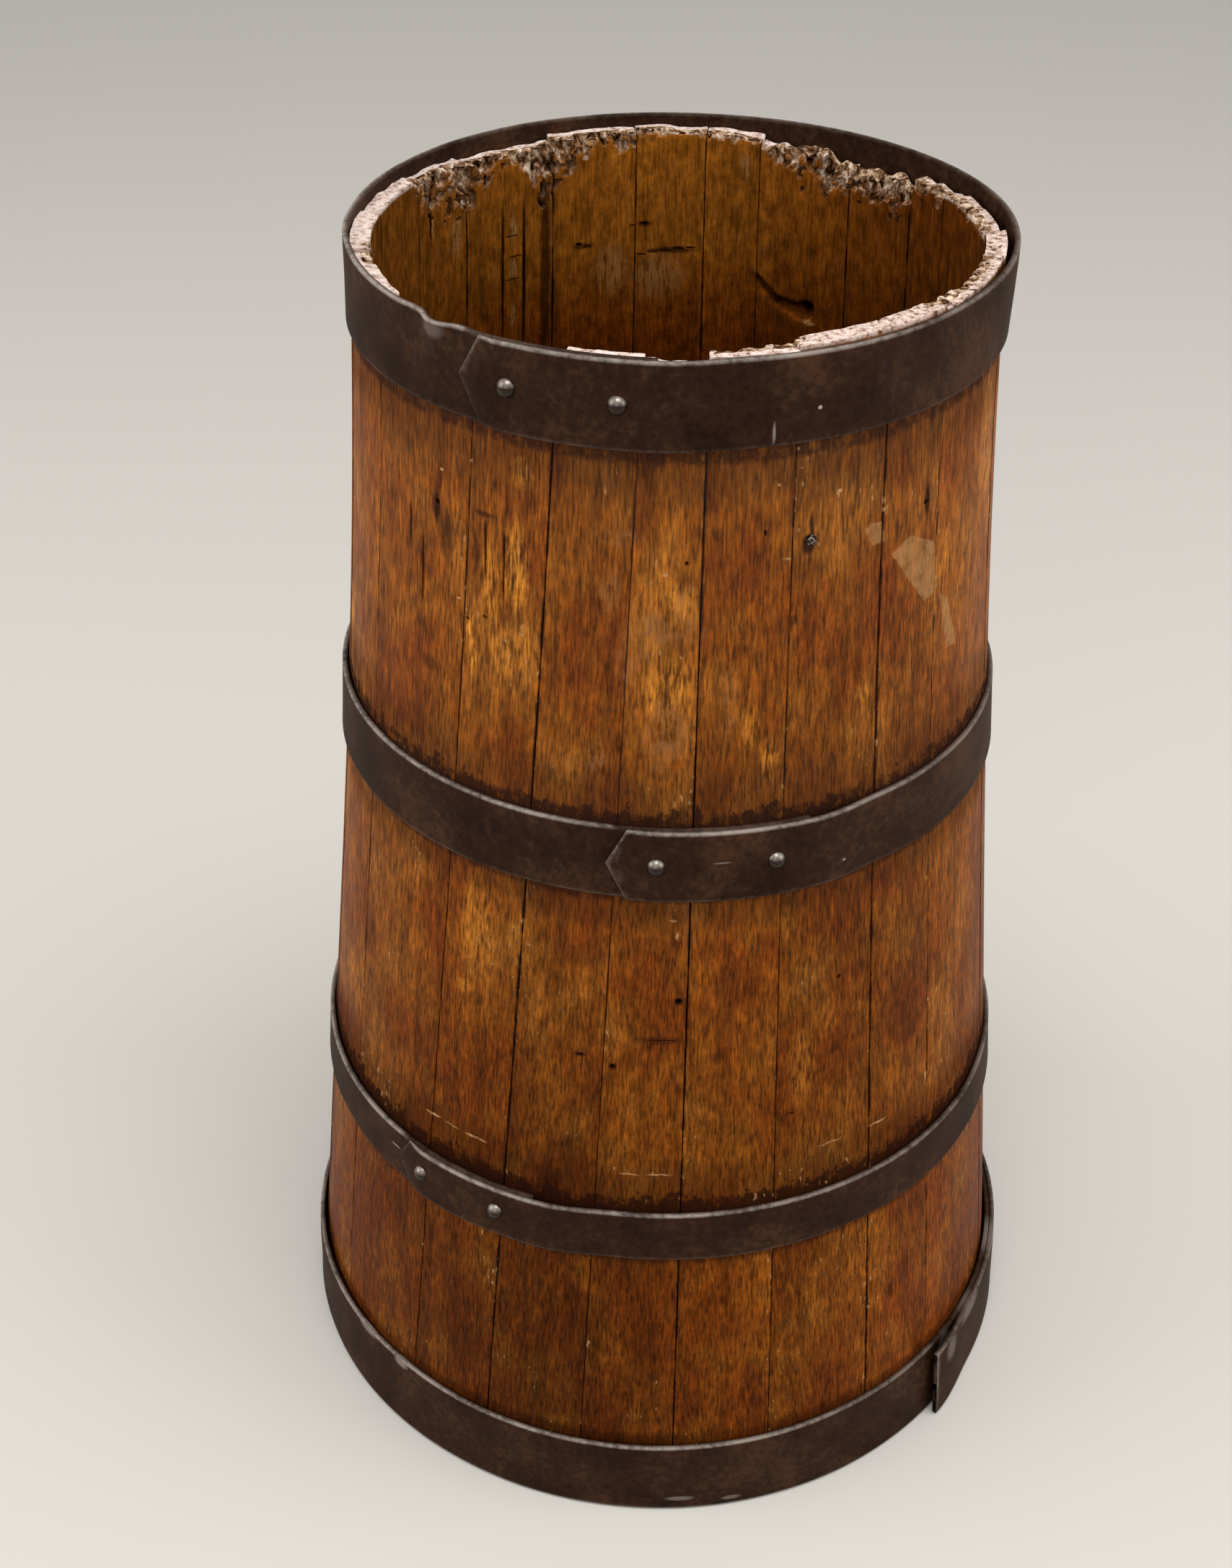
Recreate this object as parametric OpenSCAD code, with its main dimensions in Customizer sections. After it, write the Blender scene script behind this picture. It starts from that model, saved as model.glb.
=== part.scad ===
// Open oak barrel: tapered staves, riveted iron hoops and a jointed bottom head.
// Millimetres, +Z up, the foot of the staves stands at z = 0 on the axis of the barrel.

/* [Barrel] */
// Height of the longest stave
height = 694; // [500:1:900]
// Outside radius of the staves at the foot
foot_radius = 212; // [150:1:280]
// Outside radius of the staves at the rim
rim_radius = 158; // [110:1:240]
// How far the side draws in from a straight taper
waist = 5; // [0:0.5:12]

/* [Staves] */
// Stave thickness at the foot
foot_wall = 17; // [12:0.5:26]
// Stave thickness at the rim
rim_wall = 10; // [7:0.5:18]
// Width of each stave in turn, as a share of the circle
stave_share = [22.5, 15, 15, 13, 15, 17.5, 14, 25, 14, 25, 11, 16.5, 20.5, 11.5, 14.5, 18, 21.5, 15, 18.5, 18, 19];
// Lean in degrees of the joint at the start of each stave
joint_lean = [-1, -2.2, -2.2, -1.6, -0.5, -0.3, 0, 0.3, 0, 0, 0, 0, 0, 0, 0, 0, 0, 0, 0, 0, -0.5];
// How far each stave stops short of the longest one
stave_short = [9, 8, 2, 6, 2, 0, 0, 1, 3, 8, 9, 14, 12, 9, 8, 9, 12, 10, 8, 7, 7];
// Angle of the first stave joint
first_joint = -151; // [-180:1:180]
// Width of the bevel inside the foot
chime_bevel = 6; // [2:0.5:9]
// Height of the bevel inside the foot
chime_height = 16; // [8:1:24]
// Width of the bevel inside the rim
rim_bevel = 2.5; // [0.5:0.5:5]

/* [Bottom head] */
// Height of the middle of the groove that holds the head
croze_height = 46; // [36:1:90]
// Width of the groove
croze_width = 8; // [5:0.5:12]
// Depth of the groove
croze_depth = 5; // [3:0.5:7]
// Thickness of the head boards
head_thick = 16; // [12:1:26]
// Length of the bevel round the head
head_bevel = 22; // [10:1:40]
// Width of each head board in turn, as a share of the head
board_share = [20, 19, 23, 18, 20];
// Diameter of the dowels between the boards
dowel_diameter = 8; // [6:0.5:10]
// Length of the dowels
dowel_length = 40; // [24:1:60]
// Distance of the dowels from the middle, as a share of the head radius
dowel_place = 0.45; // [0.2:0.05:0.6]

/* [Hoops] */
// Thickness of the iron strap
strap_thick = 2.8; // [1.5:0.1:4]
// Bottom edge of the base hoop
base_hoop_z = 1.5; // [0.5:0.5:10]
// Width of the base hoop
base_hoop_width = 48; // [25:1:70]
// Bottom edge of the lower hoop
lower_hoop_z = 187; // [120:1:260]
// Width of the lower hoop
lower_hoop_width = 30; // [20:1:50]
// Bottom edge of the upper hoop
upper_hoop_z = 415; // [320:1:480]
// Width of the upper hoop
upper_hoop_width = 39; // [20:1:55]
// Gap between the longest stave end and the top edge of the top hoop
top_hoop_drop = 3; // [0:0.5:12]
// Width of the top hoop
top_hoop_width = 42; // [25:1:60]
// Angle of the outer strap end of the base, lower, upper and top hoop
lap_angle = [-39, -136, -99, -126];
// Angle from the outer strap end to the first rivet of each hoop
rivet_start = [50, 6, 8, 9.5];
// Angle between the two rivets of each hoop
rivet_pitch = [14, 14.5, 19, 18];
// Angle the lap runs on past the second rivet
lap_past = 6; // [4:0.5:12]
// Angle from the inner strap end to the start of the joggle
step_start = 1.5; // [1:0.5:4]
// Angle over which the joggle brings the strap down to the staves
step_angle = 6; // [5:0.5:8]
// Gap between the two layers of a lap
lap_gap = 0.2; // [0.1:0.05:0.4]
// Thickness of the joggle, as a share of the strap
joggle_share = 0.85; // [0.7:0.05:0.95]
// Length of the point at the outer strap end of each hoop
tip_length = [2, 9, 10, 12];

/* [Rivets and nails] */
// Diameter of the rivet heads
rivet_head_diameter = 9; // [6:0.5:14]
// Height of the rivet heads
rivet_head_height = 3.4; // [2:0.1:4.5]
// Diameter of the rivet shanks
rivet_diameter = 5; // [3:0.5:7]
// Clearance round a rivet, dowel or nail
clearance = 0.05; // [0.02:0.01:0.1]
// Diameter of the nail head
nail_head_diameter = 5; // [3:0.5:8]
// Distance of the nail holes below the top hoop
nail_drop = 49; // [20:1:120]
// Diameter of the nail holes
nail_hole_diameter = 3; // [2:0.5:4]
// Depth of the nail holes
nail_hole_depth = 8; // [5:0.5:10]
// Angles of the nail holes, the nail is in the second one
nail_angle = [-132, -67, -43];

/* [Hidden] */
$fa = 4;
$fs = 1;

stave_count = len(stave_share);
function total(v, n) = n <= 0 ? 0 : v[n - 1] + total(v, n - 1);
function joint(k) = first_joint + 360 * total(stave_share, k) / total(stave_share, stave_count);
function lean(k) = joint_lean[k % stave_count];

function side(z) = foot_radius + (rim_radius - foot_radius) * z / height
  - waist * 6.75 * pow(z / height, 2) * (1 - z / height);

top_hoop_z = height - top_hoop_drop - top_hoop_width;
hoop_z = [base_hoop_z, lower_hoop_z, upper_hoop_z, top_hoop_z];
hoop_width = [base_hoop_width, lower_hoop_width, upper_hoop_width, top_hoop_width];
hoop_end = hoop_z + hoop_width;

// Heights where the side changes slope: the hoop edges and the middle of each open stretch
turns = [
  0,
  hoop_end[0],
  (hoop_end[0] + hoop_z[1]) / 2,
  hoop_z[1],
  hoop_end[1],
  (hoop_end[1] + hoop_z[2]) / 2,
  hoop_z[2],
  hoop_end[2],
  (hoop_end[2] + hoop_z[3]) / 2,
  hoop_z[3],
  height
];
side_table = [for (z = turns) [z, side(z)]];
function outside(z) = lookup(z, side_table);
function wall(z) = foot_wall + (rim_wall - foot_wall) * z / height;
function inside(z) = outside(z) - wall(z);

croze_low = croze_height - croze_width / 2;
croze_high = croze_height + croze_width / 2;
croze_radius = inside(croze_high) + croze_depth;
middle = height / 2;
reach = 1.3 * foot_radius;

function rivet_angle(h, k) = lap_angle[h] + rivet_start[h] + k * rivet_pitch[h];
function lap_end(h) = rivet_angle(h, 1) + lap_past;
lap_rise = strap_thick + lap_gap;
function hoop_slope(h) = atan((outside(hoop_z[h]) - outside(hoop_end[h])) / hoop_width[h]);
function hoop_mid(h) = hoop_z[h] + hoop_width[h] / 2;

nail_height = top_hoop_z - nail_drop;
nail_slope = atan((outside(nail_height - 5) - outside(nail_height + 5)) / 10);

oak = [0.62, 0.36, 0.17];
oak_pale = [0.72, 0.47, 0.25];
iron = [0.23, 0.2, 0.18];
steel = [0.7, 0.7, 0.7];

// Section of a stave that ends at the given height: side, rim, croze groove and foot bevel
module stave_section(end) {
  low = [for (z = turns) if (z < end - 8) z];
  inner = [for (i = [len(low) - 1:-1:0]) if (low[i] > croze_high + 1) low[i]];
  polygon(concat(
    [for (z = low) [outside(z), z]],
    [[outside(end), end]],
    [[inside(end) + rim_bevel, end]],
    [[inside(end - rim_bevel), end - rim_bevel]],
    [for (z = inner) [inside(z), z]],
    [
      [inside(croze_high), croze_high],
      [croze_radius, croze_high],
      [croze_radius, croze_low],
      [inside(croze_low), croze_low],
      [inside(chime_height), chime_height],
      [inside(0) + chime_bevel, 0]
    ]
  ));
}

// Everything on the far side of a joint: turn 0 keeps clear of it counter-clockwise, turn 180 clockwise
module past_joint(k, turn) {
  rotate([0, 0, joint(k)])
    translate([0, 0, middle])
      rotate([lean(k), 0, 0])
        rotate([turn, 0, 0])
          translate([-reach / 4, 0, -height])
            cube([reach * 1.25, reach, 2 * height]);
}

// Round hole or shank square to the side of the barrel
module on_side(angle, z, slope) {
  rotate([0, 0, angle])
    translate([outside(z), 0, z])
      rotate([0, 90 - slope, 0])
        children();
}

module nail_hole(i) {
  on_side(nail_angle[i], nail_height, nail_slope)
    translate([0, 0, -nail_hole_depth])
      cylinder(d = nail_hole_diameter, h = nail_hole_depth + 2);
}

module stave(k) {
  start = joint(k) - 5;
  spread = joint(k + 1) - joint(k) + 10;
  color(k % 3 == 1 ? oak_pale : oak)
    difference() {
      rotate([0, 0, start])
        rotate_extrude(angle = spread)
          stave_section(height - stave_short[k]);
      past_joint(k, 180);
      past_joint(k + 1, 0);
      for (i = [0:len(nail_angle) - 1])
        if (nail_angle[i] > joint(k) && nail_angle[i] < joint(k + 1))
          nail_hole(i);
    }
}

module stave_01() stave(0);
module stave_02() stave(1);
module stave_03() stave(2);
module stave_04() stave(3);
module stave_05() stave(4);
module stave_06() stave(5);
module stave_07() stave(6);
module stave_08() stave(7);
module stave_09() stave(8);
module stave_10() stave(9);
module stave_11() stave(10);
module stave_12() stave(11);
module stave_13() stave(12);
module stave_14() stave(13);
module stave_15() stave(14);
module stave_16() stave(15);
module stave_17() stave(16);
module stave_18() stave(17);
module stave_19() stave(18);
module stave_20() stave(19);
module stave_21() stave(20);

// Section of a strap that lies on the staves, moved out by the given amount
module strap_section(h, out, share = 1) {
  low = outside(hoop_z[h]) + out;
  high = outside(hoop_end[h]) + out;
  first = strap_thick * (1 - share) / 2;
  last = strap_thick - first;
  polygon([
    [low + first, hoop_z[h]],
    [low + last, hoop_z[h]],
    [high + last, hoop_end[h]],
    [high + first, hoop_end[h]]
  ]);
}

module strap_arc(h, from, to, out) {
  rotate([0, 0, from])
    rotate_extrude(angle = to - from)
      strap_section(h, out);
}

module rivet_bore(h, k) {
  on_side(rivet_angle(h, k), hoop_mid(h), hoop_slope(h))
    translate([0, 0, -2])
      cylinder(d = rivet_diameter + 2 * clearance, h = 4 * strap_thick);
}

// Outer end of a strap over its own inner end, cut to a point
module lap(h) {
  half = hoop_width[h] / 2;
  cut = 3 * half;
  difference() {
    strap_arc(h, lap_angle[h], lap_end(h) + step_start + 0.5, lap_rise);
    for (up = [-1, 1])
      rotate([0, 0, lap_angle[h]])
        translate([outside(hoop_mid(h)), 0, hoop_mid(h)])
          rotate([up * atan(half / tip_length[h]), 0, 0])
            translate([0, 0, up * cut / 2])
              cube([20 * strap_thick, 2 * cut, cut], center = true);
  }
}

// Straight joggle that brings the strap down from the lap to the staves
module joggle(h) {
  start = lap_end(h) + step_start;
  run = outside(hoop_mid(h)) + strap_thick / 2;
  from = (run + lap_rise) * [cos(start), sin(start)];
  to = run * [cos(start + step_angle), sin(start + step_angle)];
  way = to - from;
  turn = atan2(way[1], way[0]) - 90;
  translate([from[0], from[1], 0])
    rotate([0, 0, turn])
      translate([-run, 0, 0])
        rotate([90, 0, 0])
          mirror([0, 0, 1])
            linear_extrude(height = norm(way))
              strap_section(h, 0, joggle_share);
}

// One strap bent round the staves: inner turn, joggle and riveted lap
module hoop(h) {
  color(iron)
    difference() {
      union() {
        strap_arc(h, lap_end(h) + step_start + step_angle - 0.5, lap_end(h) + 360, 0);
        joggle(h);
        lap(h);
      }
      for (k = [0, 1])
        rivet_bore(h, k);
    }
}

module hoop_base() hoop(0);
module hoop_lower() hoop(1);
module hoop_upper() hoop(2);
module hoop_top() hoop(3);

// Domed rivet: shank through both layers of the lap, head seated on the outer one
module rivet(h, k) {
  seat = 2 * strap_thick + lap_gap;
  dome = (pow(rivet_head_diameter / 2, 2) + pow(rivet_head_height, 2)) / (2 * rivet_head_height);
  on_side(rivet_angle(h, k), hoop_mid(h), hoop_slope(h)) {
    translate([0, 0, 0.1])
      cylinder(d = rivet_diameter, h = seat + 0.4);
    translate([0, 0, seat])
      intersection() {
        translate([0, 0, rivet_head_height - dome])
          sphere(r = dome);
        cylinder(d = rivet_head_diameter, h = rivet_head_height + 1);
      }
  }
}

module rivets(h) {
  color(iron)
    for (k = [0, 1])
      rivet(h, k);
}

module rivets_base() rivets(0);
module rivets_lower() rivets(1);
module rivets_upper() rivets(2);
module rivets_top() rivets(3);

head_radius = croze_radius - clearance;
head_edge = croze_width / 2 - clearance;
head_neck = inside(croze_high) - 0.5;
function board_line(k) = head_radius * (2 * total(board_share, k) / total(board_share, len(board_share)) - 1);
dowel_y = [for (s = [-1, 1]) s * dowel_place * head_radius];

// The whole head before it is sawn into boards: a flat disc bevelled to a tongue
module head_disc() {
  translate([0, 0, croze_height])
    rotate_extrude()
      polygon([
        [0, -head_thick / 2],
        [head_neck - head_bevel, -head_thick / 2],
        [head_neck, -head_edge],
        [head_radius, -head_edge],
        [head_radius, head_edge],
        [head_neck, head_edge],
        [head_neck - head_bevel, head_thick / 2],
        [0, head_thick / 2]
      ]);
}

module dowel(k, y, wide, long) {
  translate([board_line(k), y, croze_height])
    rotate([0, 90, 0])
      cylinder(d = dowel_diameter + 2 * wide, h = dowel_length + 2 * long, center = true);
}

module board(k) {
  low = k == 0 ? -reach : board_line(k);
  high = k == len(board_share) - 1 ? reach : board_line(k + 1);
  color(k % 2 == 0 ? oak : oak_pale)
    difference() {
      intersection() {
        head_disc();
        translate([low, -reach, 0])
          cube([high - low, 2 * reach, 2 * croze_height + head_thick]);
      }
      for (y = dowel_y) {
        if (k > 0)
          dowel(k, y, clearance, 1);
        if (k < len(board_share) - 1)
          dowel(k + 1, y, clearance, 1);
      }
    }
}

module head_board_1() board(0);
module head_board_2() board(1);
module head_board_3() board(2);
module head_board_4() board(3);
module head_board_5() board(4);

module head_dowels() {
  color(oak_pale)
    for (k = [1:len(board_share) - 1])
      for (y = dowel_y)
        dowel(k, y, 0, 0);
}

// Nail driven into one of the holes, its flat head just proud of the stave
module stave_nail() {
  color(steel)
    on_side(nail_angle[1], nail_height, nail_slope) {
      translate([0, 0, 0.5 - nail_hole_depth])
        cylinder(d = nail_hole_diameter - 2 * clearance, h = nail_hole_depth);
      translate([0, 0, 0.05])
        cylinder(d = nail_head_diameter, h = 1.2);
    }
}

stave_01();
stave_02();
stave_03();
stave_04();
stave_05();
stave_06();
stave_07();
stave_08();
stave_09();
stave_10();
stave_11();
stave_12();
stave_13();
stave_14();
stave_15();
stave_16();
stave_17();
stave_18();
stave_19();
stave_20();
stave_21();
hoop_base();
hoop_lower();
hoop_upper();
hoop_top();
rivets_base();
rivets_lower();
rivets_upper();
rivets_top();
head_board_1();
head_board_2();
head_board_3();
head_board_4();
head_board_5();
head_dowels();
stave_nail();
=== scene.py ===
import math

import bpy
from mathutils import Matrix, Vector, noise


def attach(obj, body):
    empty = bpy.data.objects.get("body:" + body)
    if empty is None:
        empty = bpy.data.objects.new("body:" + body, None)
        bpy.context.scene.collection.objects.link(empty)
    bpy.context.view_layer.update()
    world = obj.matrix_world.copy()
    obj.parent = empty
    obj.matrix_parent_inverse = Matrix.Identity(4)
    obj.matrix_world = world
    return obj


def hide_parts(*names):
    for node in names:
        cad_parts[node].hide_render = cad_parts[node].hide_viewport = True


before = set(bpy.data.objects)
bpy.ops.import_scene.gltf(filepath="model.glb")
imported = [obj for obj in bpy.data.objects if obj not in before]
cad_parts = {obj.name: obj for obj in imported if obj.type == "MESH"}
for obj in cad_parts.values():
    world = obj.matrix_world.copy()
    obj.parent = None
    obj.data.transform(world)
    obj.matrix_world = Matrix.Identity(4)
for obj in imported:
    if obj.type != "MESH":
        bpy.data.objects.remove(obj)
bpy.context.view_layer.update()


# Staves: upright oak boards, each sawn with its own width and taper and planed on both
# edges to a radial joint. They stand edge to edge in a ring, were bent under heat, and only
# the hoops hold them. The outside is varnished, the rim is bare, weathered and broken.
HEIGHT = 0.694
FOOT_RADIUS = 0.212
RIM_RADIUS = 0.158
WAIST = 0.005
FOOT_WALL = 0.017
RIM_WALL = 0.010
FIRST_JOINT = -151.0
# Degrees of the ring that each stave takes, anticlockwise from the first joint
STAVE_SHARES = [22.5, 15, 15, 13, 15, 17.5, 14, 25, 14, 25, 11, 16.5, 20.5, 11.5, 14.5, 18, 21.5,
                15, 18.5, 18, 19]
# How far the joint at the start of each stave leans from upright, in degrees
JOINT_LEANS = [-1, -2.2, -2.2, -1.6, -0.5, -0.3, 0, 0.3, 0, 0, 0, 0, 0, 0, 0, 0, 0, 0, 0, 0, -0.5]
# How far the joint at the start of each stave has dried open, in millimetres on each side
JOINT_OPENS = [0.26, 0.08, 0.40, 0.07, 0.26, 0.12, 0.30, 0.28, 0.12, 0.20, 0.10, 0.42, 0.14, 0.08, 0.16,
               0.10, 0.26, 0.34, 0.12, 0.22, 0.10]
# How far each stave ends below the tallest one, in millimetres
STAVE_SHORTS = [13, 12, 5.5, 7, 2, 0, 0, 1, 3, 8, 9, 14, 12, 9, 8, 9, 12, 10, 8, 7, 9]
# How light each stave is, from 0 to 1, and how far it has sunk behind the others, in millimetres
STAVE_TONES = [0.50, 0.60, 0.32, 0.54, 0.50, 0.18, 0.18, 0.60, 0.55, 0.35, 0.70, 0.40, 0.55, 0.30,
               0.65, 0.48, 0.36, 0.58, 0.44, 0.66, 0.70]
STAVE_SINKS = [0.2, 0.5, 0.0, 0.35, 0.1, 0.3, 0.0, 0.4, 0.1, 0.3, 0.5, 0.1, 0.4, 0.2, 0.0, 0.3, 0.5, 0.1,
               0.35, 0.0, 0.4]
# Groove that grips the bottom head
CROZE_LOW = 0.042
CROZE_HIGH = 0.050
CROZE_DEPTH = 0.005
# Bevel on the inside of the foot
CHIME_HEIGHT = 0.016
CHIME_DEPTH = 0.006
EDGE_ROUND = 0.0006
# Rows of points lie this far apart where the wood is worn, and this many degrees round the ring
RIM_STEP = 0.0016
ROUND_STEP = 0.5
# How far down from its end a stave is weathered, and the height down to which its inside is marked
WEATHERED = 0.045
SCARRED = 0.560
# Stretches of rim where the inner edge has broken away: angle, half width, strength, depth, and
# how much of the end is gone
BROKEN_RIM = [
    (55, 24, 1.0, 0.024, 0.009),
    (41, 7, 0.95, 0.028, 0.006),
    (30, 9, 0.60, 0.012, 0.003),
    (142, 18, 0.80, 0.030, 0),
    (117, 11, 0.85, 0.032, 0.001),
    (120, 45, 0.70, 0.013, 0),
    (80, 12, 0.40, 0.006, 0),
    (-168, 6, 0.30, 0.005, 0.0006),
    (12, 20, 0.40, 0.005, 0.0008),
    (-28, 26, 0.38, 0.004, 0.0006),
    (-77, 13, 0.45, 0.005, 0.0008),
]
# Gouge in the inner wall: angle and height of its two ends, the heights that it lies between, how
# far it sags, half its width at the start, and its depth
GOUGE = [(73.0, 0.604), (60.0, 0.590)]
GOUGE_ZONE = (0.57, 0.62)
GOUGE_SAG = 0.007
GOUGE_HALF_WIDTH = 0.0030
GOUGE_DEPTH = 0.006
# Nail holes, worm holes and splits in the outside: angle, height, half width, half height, depth
OUTSIDE_CUTS = [
    (-132.0, 0.600, 0.0015, 0.0015, 0.008),
    (-67.0, 0.600, 0.0015, 0.0015, 0.008),
    (-43.0, 0.600, 0.0015, 0.0015, 0.008),
    (-139.0, 0.582, 0.0005, 0.0110, 0.003),
    (-135.6, 0.562, 0.0006, 0.0190, 0.003),
    (-121.6, 0.584, 0.0006, 0.0170, 0.003),
    (-118.0, 0.580, 0.0006, 0.0190, 0.003),
    (-125.1, 0.546, 0.0013, 0.0009, 0.003),
    (-121.6, 0.550, 0.0015, 0.0010, 0.003),
    (-87.3, 0.593, 0.0010, 0.0011, 0.004),
    (-74.7, 0.606, 0.0007, 0.0018, 0.004),
    (-97.2, 0.310, 0.0013, 0.0013, 0.004),
    (-102.5, 0.315, 0.0022, 0.0008, 0.002),
    (-86.9, 0.352, 0.0018, 0.0018, 0.004),
    (-89.4, 0.328, 0.0090, 0.0005, 0.002),
    (-59.5, 0.351, 0.0014, 0.0010, 0.003),
    (-67.8, 0.273, 0.0014, 0.0008, 0.003),
]
# Cracks across and along the inside, written the same way
INSIDE_CUTS = [
    (97.6, 0.6146, 0.0032, 0.0009, 0.003),
    (95.2, 0.6160, 0.0034, 0.0013, 0.003),
    (92.4, 0.6166, 0.0038, 0.0007, 0.003),
    (89.8, 0.6180, 0.0034, 0.0012, 0.003),
    (87.2, 0.6186, 0.0030, 0.0008, 0.003),
    (99.4, 0.6318, 0.0024, 0.0007, 0.003),
    (97.2, 0.6328, 0.0024, 0.0010, 0.003),
    (111.2, 0.6232, 0.0020, 0.0012, 0.003),
    (109.4, 0.6214, 0.0026, 0.0009, 0.003),
    (126.9, 0.6350, 0.0040, 0.0007, 0.003),
    (125.8, 0.6230, 0.0045, 0.0007, 0.003),
    (126.6, 0.6100, 0.0050, 0.0007, 0.003),
    (129.0, 0.6150, 0.0006, 0.0400, 0.003),
    (123.8, 0.6100, 0.0007, 0.0460, 0.003),
    (149.6, 0.6630, 0.0007, 0.0140, 0.004),
]


def side(z):
    """Outer radius of the staves at a height. The waist's cubic is 1 / 6.75 at its greatest."""
    t = z / HEIGHT
    return FOOT_RADIUS + (RIM_RADIUS - FOOT_RADIUS) * t - WAIST * 6.75 * t * t * (1 - t)


def wall(z):
    """Thickness of the staves at a height."""
    return FOOT_WALL + (RIM_WALL - FOOT_WALL) * z / HEIGHT


def smooth(t):
    """Eases from 0 to 1 as t does."""
    t = min(max(t, 0.0), 1.0)
    return t * t * (3 - 2 * t)


def joint_angle(k, r, z):
    """Angle of the joint at the start of a stave, at some radius and height."""
    turns, stave = divmod(k, len(STAVE_SHARES))
    start = FIRST_JOINT + 360 * turns + sum(STAVE_SHARES[:stave])
    offset = -math.tan(math.radians(JOINT_LEANS[stave])) * (z - HEIGHT / 2)
    return math.radians(start) + math.asin(offset / r)


def stave_outline(end):
    """Section of a stave, up the outside, over the rim and down the inside, finest near the rim."""
    coarse = [HEIGHT * i / 24 for i in range(24)]
    fine = [end - RIM_STEP * i for i in range(1, round(WEATHERED / RIM_STEP))]
    up = [z for z in coarse if z < end - WEATHERED - 2 * RIM_STEP] + fine[::-1]
    down = [end - RIM_STEP * i for i in range(1, round((end - SCARRED) / RIM_STEP))]
    down += [z for z in coarse[::-1] if CROZE_HIGH + CROZE_DEPTH < z < SCARRED - 2 * RIM_STEP]
    points = [(side(z), z) for z in up]
    points += [(side(end) - wall(end) * q / 7, end) for q in range(8)]
    points += [(side(z) - wall(z), z) for z in down]
    groove = side(CROZE_HIGH) - wall(CROZE_HIGH) + CROZE_DEPTH
    points += [
        (side(CROZE_HIGH) - wall(CROZE_HIGH), CROZE_HIGH),
        (groove, CROZE_HIGH),
        (groove, CROZE_LOW),
        (side(CROZE_LOW) - wall(CROZE_LOW), CROZE_LOW),
        (side(CHIME_HEIGHT) - wall(CHIME_HEIGHT), CHIME_HEIGHT),
        (side(0) - wall(0) + CHIME_DEPTH, 0),
    ]
    return points


def edit_faces(piece, faces):
    """Opens edit mode on a piece with just these faces selected."""
    mesh = piece.data
    for parts in (mesh.polygons, mesh.edges, mesh.vertices):
        parts.foreach_set("select", [False] * len(parts))
    for face in faces:
        mesh.polygons[face].select = True
    bpy.ops.object.mode_set(mode="EDIT")
    bpy.ops.mesh.select_mode(type="FACE")


def put_attribute(piece, name, values):
    """Keeps one number for each point of a piece, for its finish to read."""
    layer = piece.data.attributes.new(name, "FLOAT", "POINT")
    layer.data.foreach_set("value", values)


def cut_stave(stave, radius, cut):
    """Cuts a small hole or split into a face of a stave, square to it."""
    angle, z, half_width, half_height, depth = cut
    turn = math.radians(angle)
    bpy.ops.object.select_all(action="DESELECT")
    bpy.ops.mesh.primitive_cylinder_add(
        vertices=8, radius=1, depth=2, location=(radius * math.cos(turn), radius * math.sin(turn), z),
        rotation=(0, math.pi / 2, turn), scale=(half_height, half_width, depth))
    cutter = bpy.context.object
    bpy.context.view_layer.objects.active = stave
    hole = stave.modifiers.new("hole", "BOOLEAN")
    hole.operation = "DIFFERENCE"
    hole.object = cutter
    bpy.ops.object.modifier_apply(modifier=hole.name)
    bpy.data.objects.remove(cutter)


def broken(angle):
    """How strongly, how deep and how far down the rim is broken at an angle."""
    most = [0.0, 0.0, 0.0]
    for middle, half, *values in BROKEN_RIM:
        near = smooth(1.3 - 1.3 * abs((angle - middle + 180) % 360 - 180) / half)
        most = [max(m, v * near) for m, v in zip(most, values)]
    return most


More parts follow.
